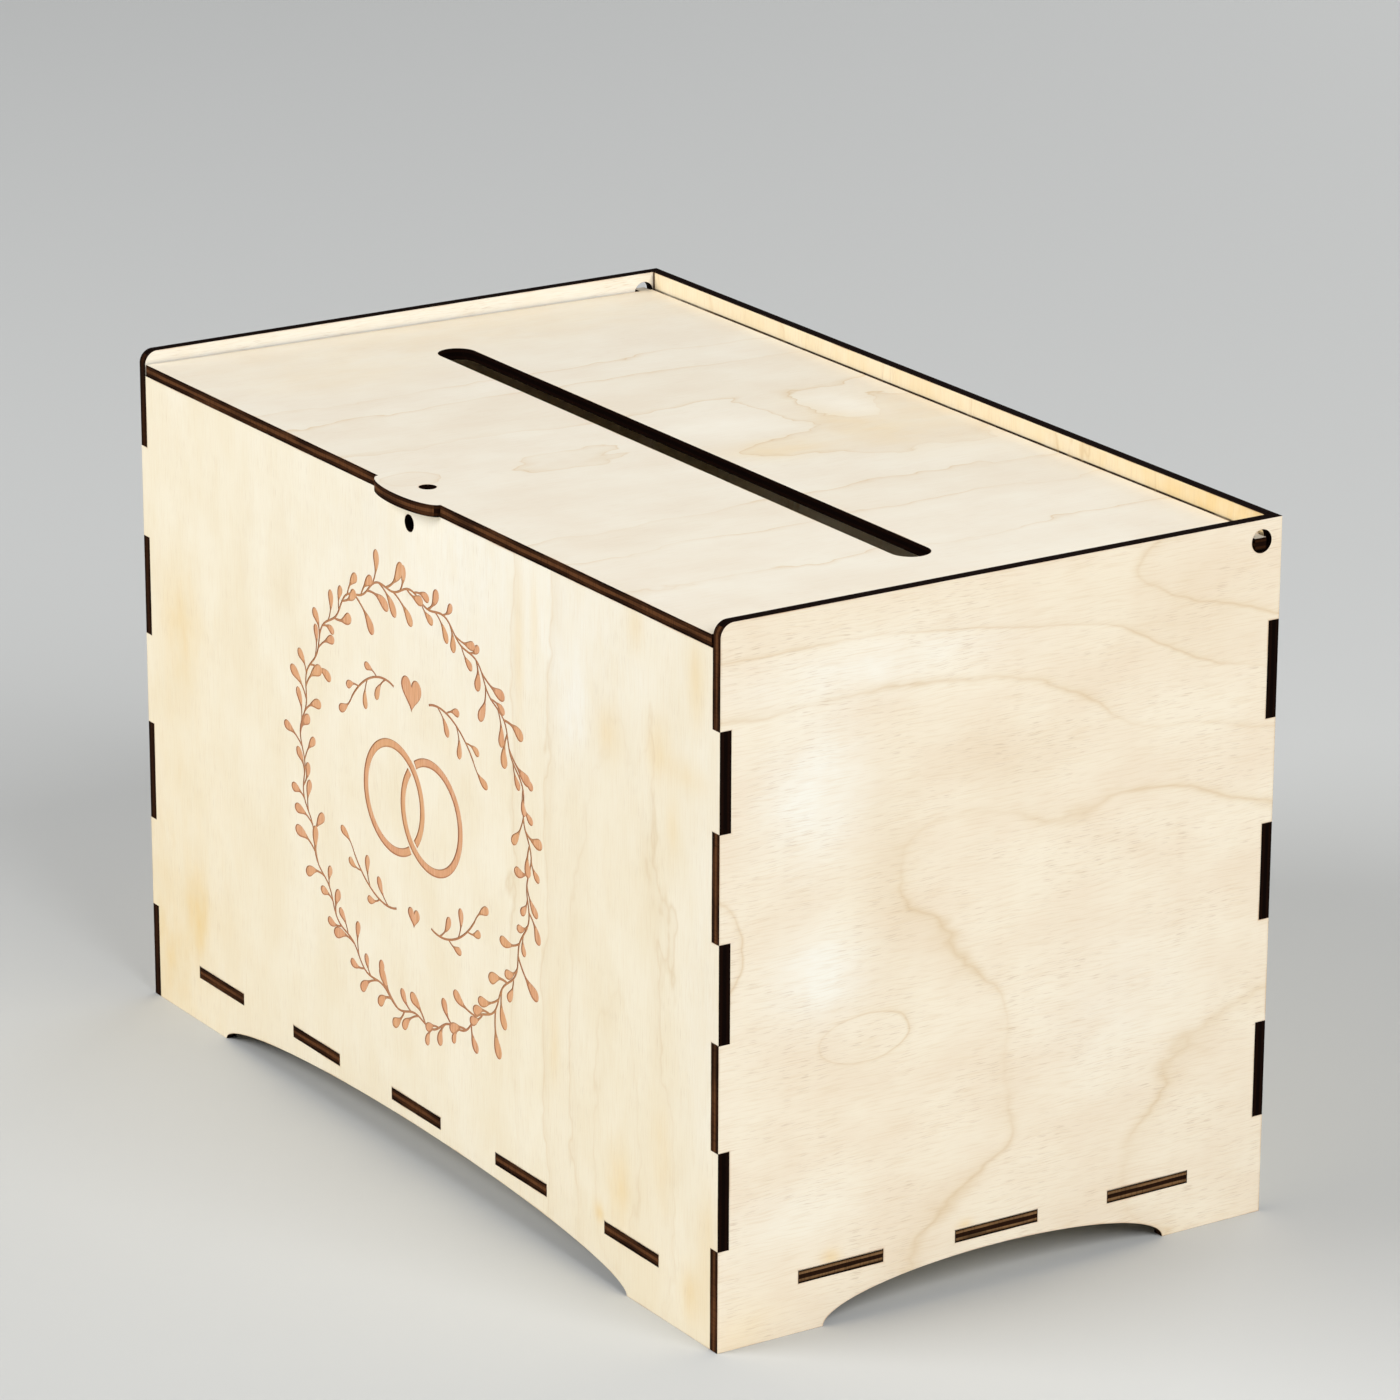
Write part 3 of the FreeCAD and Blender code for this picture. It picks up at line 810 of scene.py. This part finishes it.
def inset(loop, distance):
    """Shift a closed loop's points to its left, keeping its corners square."""
    points = [Vector(point) for point in loop]
    shifted = []
    for before, point, after in zip(points[-1:] + points[:-1], points, points[1:] + points[:1]):
        first = (point - before).normalized()
        second = (after - point).normalized()
        left = Vector((-first.y - second.y, first.x + second.x))
        shifted.append(point + left * (distance / (1 + first.dot(second))))
    return shifted


def linked_rings():
    """Two bands, each broken where it passes under the other."""
    crossing = math.degrees(math.acos(RING_APART / RING_RADIUS))
    gap = math.degrees(math.asin((RING_HALF + RING_CLEAR) / RING_RADIUS))
    radii = (RING_RADIUS, RING_RADIUS)
    shapes = []
    for side, broken_at in ((-1, -crossing), (1, 180 - crossing)):
        middle = (side * RING_APART, WREATH_CENTRE.y)
        band = arc(middle, radii, broken_at + gap, broken_at + 360 - gap, 2 * CIRCLE_STEPS)
        shapes += inked([Vector(point) for point in band], [RING_HALF] * len(band))
    return shapes


def heart(centre, width):
    """A closed heart, filled, from the usual heart curve, which is 32 units wide."""
    size = width / 32
    loop = []
    for k in range(HEART_STEPS):
        t = 2 * math.pi * (k + 0.5) / HEART_STEPS
        x = 16 * math.sin(t) ** 3
        y = 13 * math.cos(t) - 5 * math.cos(2 * t) - 2 * math.cos(3 * t) - math.cos(4 * t)
        loop.append(Vector((centre[0] + size * x, centre[1] + size * y)))
    loop = counter_clockwise(loop)
    return [(loop, False), (inset(loop, LINE_HALF), True)]


emblem = linked_rings() + heart(*UPPER_HEART) + heart(*LOWER_HEART)
print(len(emblem), "loops in the rings and hearts")

# %% Sprigs
SPRIG_STEM = ((9.5, 137.5), (16, 140), (26, 137), (33, 128))
STEM_STEPS = 34
SPRIG_NODES = (7, 14, 21, 28, STEM_STEPS)
SPRIG_OPENING = math.radians(40)
SPRIG_LEAF = 0.8


def moved(shapes, place, turn, size, side):
    """Shapes sized, flipped, turned and put in their place."""
    rotate = Matrix.Rotation(turn, 2)
    return [(counter_clockwise([place + rotate @ Vector((p.x, p.y * side)) * size for p in loop]), fill)
            for loop, fill in shapes]


def sprig(stem):
    """A short twig with a leaf at its end and leaves on alternate sides."""
    spine = bent(*stem, [k / STEM_STEPS for k in range(STEM_STEPS + 1)])
    shapes = inked(spine, [LINE_HALF] * len(spine))
    for number, k in enumerate(SPRIG_NODES):
        run = spine[k] - spine[k - 1]
        side = 0 if k == STEM_STEPS else 1 if number % 2 else -1
        turn = math.atan2(run.y, run.x) + side * SPRIG_OPENING
        shapes += moved(LEAVES[number % 2], spine[k], turn, SPRIG_LEAF, side or 1)
    return shapes


def flipped(shapes, across, up):
    """The mirror image of the shapes about the wreath's upright or level middle line."""
    sides = Vector((across, up))
    return [(counter_clockwise([WREATH_CENTRE + (p - WREATH_CENTRE) * sides for p in loop]), fill)
            for loop, fill in shapes]


right_sprig = sprig(SPRIG_STEM)
right_pair = right_sprig + flipped(right_sprig, 1, -1)
emblem += right_pair + flipped(right_pair, -1, 1)
print(len(emblem), "loops in the emblem")

# %% [markdown]
# ## Cutting the sheets
# A sheet is its two veneers and the band of the cut between them. The veneers are filled by a constrained
# Delaunay triangulation, which takes loops that overlap and tells for each triangle which loops cover it.
# That makes the engraving real: triangles under a stroke lie 0.2 mm deeper, and small walls join them to the
# face. A boolean could do that too, but it would lose which part is outline and which is fill.
# Along each cut the veneer stops at a bevel of 0.04 mm, and a second loop about a millimetre further in lets
# the toasted border fade out.

# %% Faces and their grain
WELD = 0.0005
VENEER, ALONG, ACROSS, HOLE, LINE, FILL = range(6)


def add_face(mesh, points, grain, finish, burns):
    """One face with its grain map, its finish and how close each corner is to a cut."""
    face = mesh.faces.new([mesh.verts.new(point) for point in points])
    face.material_index = finish
    for corner, place, burn in zip(face.loops, grain, burns):
        corner[mesh.loops.layers.uv["grain"]].uv = place
        corner.vert[mesh.verts.layers.float["scorch"]] = burn


def lay_out(loops):
    """Triangulate loops that may overlap."""
    points = [Vector(point) for loop in loops for point in loop]
    faces, start = [], 0
    for loop in loops:
        faces.append(list(range(start, start + len(loop))))
        start += len(loop)
    flat, _, triangles, sources, _, covers = delaunay_2d_cdt(points, [], faces, 0, WELD)
    return flat, triangles, sources, covers


def grain_place(point, upright, shift):
    """Where a point lies in the grain map."""
    return (point.y + shift, point.x) if upright else (point.x + shift, point.y)


print("finishes of a sheet: veneer, edges along and across the grain, holes, engraved lines and fill")

# %% Veneers
BEVEL = 0.04
HALO = 1.1
ENGRAVED_DEPTH = 0.2
INNER_SHIFT = 1000.0


def add_veneer(mesh, outline, holes, depth, upright, engraving=()):
    """One face of the sheet, with its engraving."""
    shift = INNER_SHIFT if depth else 0.0
    rims = [inset(outline, BEVEL)] + [inset(hole, -BEVEL) for hole in holes]
    halos = [inset(outline, BEVEL + HALO)] + [inset(hole, -BEVEL - HALO) for hole in holes]
    drawn = len(rims) + len(halos)
    flat, triangles, sources, covers = lay_out(rims + halos + [loop for loop, _ in engraving])
    burnt = sum(len(rim) for rim in rims)
    burns = [float(any(source < burnt for source in origin)) for origin in sources]
    places = [grain_place(point, upright, shift) for point in flat]
    beside = {}
    for triangle, cover in zip(triangles, covers):
        if 0 not in cover or any(1 <= loop < len(rims) for loop in cover):
            continue
        strokes = [engraving[loop - drawn][1] for loop in cover if loop >= drawn]
        level = depth + (ENGRAVED_DEPTH if strokes else 0.0)
        finish = VENEER if not strokes else FILL if any(strokes) else LINE
        add_face(mesh, [(*flat[k], -level) for k in triangle], [places[k] for k in triangle],
                 finish, [burns[k] for k in triangle])
        for a, b in zip(triangle, triangle[1:] + triangle[:1]):
            beside.setdefault((min(a, b), max(a, b)), set()).add(level)
    for (a, b), levels in beside.items():
        if len(levels) == 2:
            top, bottom = sorted(levels)
            wall = [(*flat[a], -top), (*flat[b], -top), (*flat[b], -bottom), (*flat[a], -bottom)]
            add_face(mesh, wall, [places[k] for k in (a, b, b, a)], LINE, [0.0] * 4)


print(f"engraving {ENGRAVED_DEPTH} mm deep")

# %% Cut edges
def add_cut_edge(mesh, loop, inward, upright, along_grain, across_grain):
    """The band of a cut: bevel, edge and bevel, with a finish for each way that the cut runs."""
    rim = inset(loop, inward * BEVEL)
    loop = [Vector(point) for point in loop]
    rings = [(rim, 0.0), (loop, BEVEL), (loop, PLY - BEVEL), (rim, PLY)]
    run = [0.0]
    for a, b in zip(loop, loop[1:] + loop[:1]):
        run.append(run[-1] + (b - a).length)
    for (upper, top), (lower, bottom) in zip(rings, rings[1:]):
        for k in range(len(loop)):
            n = (k + 1) % len(loop)
            way = loop[n] - loop[k]
            finish = across_grain if (abs(way.x) > abs(way.y)) == upright else along_grain
            quad = [(*upper[k], -top), (*lower[k], -bottom), (*lower[n], -bottom), (*upper[n], -top)]
            grain = [(run[k], top), (run[k], bottom), (run[k + 1], bottom), (run[k + 1], top)]
            add_face(mesh, quad, grain, finish, [1.0] * 4)


print(f"bevel {BEVEL} mm")

# %% Closing a sheet
SHARP = math.radians(32)


def sheet_place(across, up, outward, origin):
    """From a sheet's own millimetres to the frame's metres."""
    turn = Matrix((across, up, outward)).transposed().to_4x4()
    return Matrix.Scale(MM, 4) @ Matrix.Translation(origin) @ turn


def cut_sheet(name, cut, place, upright, finishes, engraving=()):
    """Build one whole sheet as a closed mesh."""
    outline, holes = cut
    mesh = bmesh.new()
    mesh.loops.layers.uv.new("grain")
    mesh.verts.layers.float.new("scorch")
    add_veneer(mesh, outline, holes, 0.0, upright, engraving)
    add_veneer(mesh, outline, holes, PLY, upright)
    add_cut_edge(mesh, outline, 1, upright, ALONG, ACROSS)
    for hole in holes:
        add_cut_edge(mesh, hole, -1, upright, HOLE, HOLE)
    bmesh.ops.remove_doubles(mesh, verts=mesh.verts, dist=WELD)
    bmesh.ops.recalc_face_normals(mesh, faces=mesh.faces)
    open_edges = sum(1 for edge in mesh.edges if len(edge.link_faces) != 2)
    volume = mesh.calc_volume(signed=True)
    bmesh.ops.transform(mesh, matrix=place, verts=mesh.verts)
    data = bpy.data.meshes.new(name)
    mesh.to_mesh(data)
    mesh.free()
    for finish in finishes:
        data.materials.append(finish)
    data.polygons.foreach_set("use_smooth", [True] * len(data.polygons))
    data.set_sharp_from_angle(angle=SHARP)
    piece = bpy.data.objects.new(name, data)
    bpy.context.scene.collection.objects.link(piece)
    print(f"{name}: {len(data.polygons)} faces, {volume / 1000:.2f} cm3, {open_edges} open edges")
    return piece


print("cut_sheet ready")

# %% [markdown]
# ### Six sheets, six cuts of veneer
# The grain stands upright on the front and the back, runs front to back on the lid and the base, and lies
# level on the sides. Where the real sheets show a ring, an oval or a stain, a swelling in the ring field or a
# spot of colour puts it there, and the rest is left to noise. The sheets that are hardly seen share one plain
# figure with even rows of rings. The inner face of the back also has two thin dark lines of painted shade,
# behind the rear edge of the lid and in the corner, and above the lid a band of painted warm light. The inner
# face of the left side has a pale band of painted light along its top.

# %% Figures
NO_ROWS = 4000.0


def spots(*rows):
    """Swellings from rows of a place, a reach and a height in the grain map."""
    return [hump(row[:2], row[2:4], *row[4:]) for row in rows]


def ring_figure(wander, line, shade, share, fibres, swells, gap=NO_ROWS, start=0.5):
    """How a sheet's rings wander and how strongly they and the fibres are drawn."""
    return {"wander": wander, "line": line, "shade": shade, "share": share, "fibres": fibres,
            "swells": swells, "gap": gap, "start": start}


front_figure = ring_figure(
    (0.7, 0.6, 0.25), line=0.09, shade=0.4, share=0.3, fibres=0.12,
    swells=[rise(56, 10), rise(70, 10), hump((40, 106), (85, 24), 2.0)])
right_figure = ring_figure(
    (0.25, 0.16, 0.07), line=0.07, shade=0.15, share=0.44, fibres=0.2, swells=spots(
        (-75, 226, 125, 36, 4.0), (120, 186, 82, 44, 3.0), (14, 190, 46, 10, 0.6), (64, 186, 20, 12, 0.35),
        (48, 152, 14, 9, 0.2), (100, 18, 132, 123, -1.35, 4), (-10, 60, 24, 30, 0.42), (-4, 77, 12, 8, 0.22),
        (-4, 42, 12, 7, 0.22), (-17, 126, 22, 14, -0.45), (58, 128, 24, 9, -0.25), (100, 25, 75, 56, 1.35),
        (-90, 111, 13, 17, 0.9), (-42, 79, 11.8, 5.5, -1.2)))
lid_figure = ring_figure(
    (0.5, 0.6, 0.2), line=0.032, shade=0.18, share=0.6, fibres=0.07, swells=[
        rise(-86, 8), rise(-70, 8), rise(-36, 9, -1.0), rise(60, 10), rise(81, 10), rise(113, 10)] + spots(
        (-14, 2, 28, 37, 1.0), (-60, 17, 22, 11, 1.0), (-20, -11, 9, 13, -1.0), (-39, -20, 6, 14, 0.6),
        (-37, 33, 10, 9, 0.5), (-115, -4, 27, 12, 0.75), (-166, -9, 10, 7, 0.8)))
plain_figure = ring_figure(
    (1.5, 0.36, 0.1), line=0.03, shade=0.13, share=0.45, fibres=0.14, swells=[], gap=44.0, start=0.4)
print("swells on the front, right side and lid:",
      *(len(figure["swells"]) for figure in (front_figure, right_figure, lid_figure)))

# %% Veneers of this box
WARM = (screen(249, 236, 207), screen(253, 243, 219))
COOL = (screen(239, 228, 208), screen(243, 235, 217))
PINK = (screen(247, 231, 206), screen(252, 240, 217))

front_veneer = birch_veneer("front_veneer", WARM, front_figure, seed=40.0, pore_share=0.16, patches=[
    (TAN_LINE, spots((55, 106, 75, 26, 0.03, 4))),
    (PALE, spots((185, 50, 40, 100, 0.8), (90, 150, 70, 12, 0.5), (158, 84, 12, 9, 0.8))),
    (AMBER, spots(
        (10, -155, 110, 60, 0.25), (34, -127, 12, 6, 0.6), (122, -133, 16, 11, 0.35), (16, -146, 12, 11, 0.3),
        (30, 107, 11, 5, 0.5), (12, 142, 8, 5, 0.4), (28, 150, 20, 5, 0.3), (156, 102, 7, 6, 0.35),
        (189, 115, 7, 4, 0.3), (19, 97, 3, 2.5, 0.6), (182, 144, 12, 4, 0.4), (158, 126, 9, 6, 0.4),
        (140, 133, 8, 3, 0.3), (155, 140, 4, 9, 0.25), (168, 57, 24, 3, 0.3), (178, 65, 12, 2, 0.25),
        (48, 128, 14, 5, 0.25), (62, 74, 14, 3, 0.25)))])
right_veneer = birch_veneer("right_veneer", PINK, right_figure, seed=310.0, pore_share=0.34, patches=[
    (TAN_LINE, spots((-34, 124, 11, 34, 0.17), (4, 148, 24, 12, 0.14), (60, 180, 40, 16, 0.12))),
    (PALE, spots((-58, 150, 15, 18, 1.3), (-56, 99, 14, 12, 1.3), (-40, 181, 40, 8, 0.8),
                 (-62, 33, 20, 10, 0.5), (40, 70, 26, 22, 0.4))),
    (AMBER, spots((-51, 19, 3, 2.5, 0.6), (-8, 19, 2.5, 1.5, 0.4), (-80, 4, 12, 8, 0.2)))])
lid_veneer = birch_veneer("lid_veneer", COOL, lid_figure, seed=700.0, pore_share=0.1, patches=[
    (AMBER, spots((-12, 6, 24, 32, 0.2), (-30, 8, 10, 22, 0.2), (-62, 17, 16, 9, 0.35),
                  (-60, -140, 110, 24, 0.16), (-130, -110, 30, 16, 0.12))),
    (PALE, spots((-20, -11, 8, 12, 0.7), (-62, -12, 16, 14, 0.4), (-80, 100, 80, 30, 0.2)))])
plain_veneer = birch_veneer("plain_veneer", WARM, plain_figure, seed=1500.0, pore_share=0.3, patches=[
    (AMBER, spots((40, 60, 18, 9, 0.3)))])
back_veneer = birch_veneer("back_veneer", WARM, plain_figure, seed=2100.0, pore_share=0.25, patches=[
    # The first two amber spots are painted warm bounce light on the inner face above the lid; the third is a
    # stain.
    (AMBER, spots((INNER_SHIFT + 196, -140, 16, 50, 0.55), (INNER_SHIFT + 196, 0, 16, 200, 0.3),
                  (60, 90, 22, 8, 0.3))),
    # Painted shade: two thin dark lines on the inner face, behind the lid's rear edge and in the corner by the
    # left side.
    (WARM_CHAR_AND_PAINTED_SHADE, spots((INNER_SHIFT + 194.4, 0, 0.6, 160, 1.6, 6),
                      (INNER_SHIFT + 197, 151.6, 9, 1.1, 1.6, 6)))])
left_veneer = birch_veneer("left_veneer", PINK, plain_figure, seed=2700.0, pore_share=0.3, patches=[
    # The pale band along the top of the inner face is painted light; the amber spot is a stain.
    (PALE, spots((INNER_SHIFT, 197, 160, 12, 1.3))), (AMBER, spots((50, 40, 20, 8, 0.3)))])
print("made", len([m for m in bpy.data.materials if m.name.endswith("_veneer")]), "veneers")

# %% Cut all six
X, Y, Z = Vector((1, 0, 0)), Vector((0, 1, 0)), Vector((0, 0, 1))
lid_top = HINGE + LID_NORMAL * (PLY - EAR_DROP)
front_sheet = cut_sheet("front_sheet", front_cut, sheet_place(X, Z, -Y, (0, FRONT_FACE, 0)), True,
                        [front_veneer, black_char, dark_char, black_char, engraved_line, engraved_fill],
                        wreath + emblem)
back_sheet = cut_sheet("back_sheet", back_cut, sheet_place(-X, Z, Y, (0, REAR_FACE, 0)), True,
                       [back_veneer, black_char, black_char, black_char])
right_sheet = cut_sheet("right_sheet", right_cut, sheet_place(Y, Z, X, (WIDTH / 2, 0, 0)), False,
                        [right_veneer, black_char, brown_char, black_char])
left_sheet = cut_sheet("left_sheet", left_cut, sheet_place(-Y, Z, -X, (-WIDTH / 2, 0, 0)), False,
                       [left_veneer, black_char, dark_char, black_char])
base_sheet = cut_sheet("base_sheet", base_cut, sheet_place(X, Y, Z, (0, 0, BASE_HIGH.z)), True,
                       [plain_veneer, golden_char, brown_char])
lid_sheet = cut_sheet("lid_sheet", lid_cut, sheet_place(X, LID_BACKWARD, LID_NORMAL, lid_top), True,
                      [lid_veneer, umber_char, brown_char, black_char])

# %% [markdown]
# ### Joining the frame
# Every sheet stands in for its solid and rides on that solid's body.

# %% Ride on the CAD bodies
STANDS_FOR = [(front_sheet, "front_panel", "box"), (back_sheet, "back_panel", "box"),
              (left_sheet, "left_panel", "box"), (right_sheet, "right_panel", "box"),
              (base_sheet, "base_panel", "box"), (lid_sheet, "lid", "lid")]
for piece, node, body in STANDS_FOR:
    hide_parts(node)
    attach(piece, body)
print("riding:", ", ".join(f"{piece.name} on {body}" for piece, _, body in STANDS_FOR))

# %% [markdown]
# ## The studio
# A plain pale floor and soft light keep the eye on the wood. The front is lit most, from the left of the
# camera, and the right side a little less, so that the corner between them reads. A weaker lamp behind the
# box keeps the back from going dull.

# %% Floor
FLOOR_SIZE = 30.0
FLOOR_COLOUR = screen(206, 207, 205)
FLOOR_ROUGHNESS = 0.85
FLOOR_SHINE = 0.2


def plain_floor():
    """A wide pale floor."""
    mesh = bpy.data.meshes.new("floor")
    half = FLOOR_SIZE / 2
    corners = [(x, y, 0) for x, y in rectangle(-half, half, -half, half)]
    mesh.from_pydata(corners, [], [(0, 1, 2, 3)])
    floor = bpy.data.objects.new("floor", mesh)
    bpy.context.scene.collection.objects.link(floor)
    material, shader, _ = start_material("pale_floor")
    set_inputs(shader, {"Base Color": FLOOR_COLOUR, "Roughness": FLOOR_ROUGHNESS,
                        "Specular IOR Level": FLOOR_SHINE})
    mesh.materials.append(material)
    return floor


plain_floor()
print("floor laid")

# %% Light
AIM = Vector((0.0080, 0.0025, 0.1228))
LAMPS = [("key", (-0.9, -2.4, 1.75), 1.6, 63.0), ("side", (2.4, 0.2, 1.9), 1.8, 62.0),
         ("rear", (-1.0, 2.5, 1.0), 1.8, 24.0)]
SKY_COLOUR = (0.93, 0.95, 1.0, 1.0)
SKY_STRENGTH = 0.25


def soft_lamp(name, place, size, power):
    """A square area lamp that looks at the box."""
    lamp = bpy.data.lights.new(name, "AREA")
    lamp.size = size
    lamp.energy = power
    item = bpy.data.objects.new(name, lamp)
    item.location = place
    item.rotation_euler = (AIM - item.location).to_track_quat("-Z", "Y").to_euler()
    bpy.context.scene.collection.objects.link(item)


for lamp in LAMPS:
    soft_lamp(*lamp)
world = bpy.data.worlds.new("studio")
world.use_nodes = True
set_inputs(world.node_tree.nodes["Background"], {"Color": SKY_COLOUR, "Strength": SKY_STRENGTH})
bpy.context.scene.world = world
bpy.context.scene.view_settings.view_transform = "Standard"
print(len(LAMPS), "soft lamps and an even sky")

# %% [markdown]
# ## The camera
# The photograph was taken from some way off with a long lens, 18 degrees above the horizon and 57 degrees
# round to the right. The place, the lens and the slight roll come from a fit to the corners of the fingers
# and slots.

# %% Camera
CAMERA_PLACE = Vector((1.40899, -0.90354, 0.67820))
CAMERA_ROLL = math.radians(0.211)
FOCAL_PIXELS = 6259.75
FRAME_PIXELS = 1400
SENSOR_WIDTH = 36.0

lens = bpy.data.cameras.new("camera")
lens.sensor_width = SENSOR_WIDTH
lens.lens = SENSOR_WIDTH * FOCAL_PIXELS / FRAME_PIXELS
camera = bpy.data.objects.new("camera", lens)
bpy.context.scene.collection.objects.link(camera)
look = (AIM - CAMERA_PLACE).to_track_quat("-Z", "Y").to_matrix().to_4x4()
camera.matrix_world = Matrix.Translation(CAMERA_PLACE) @ look @ Matrix.Rotation(CAMERA_ROLL, 4, "Z")
bpy.context.scene.camera = camera
print(f"lens {lens.lens:.1f} mm")
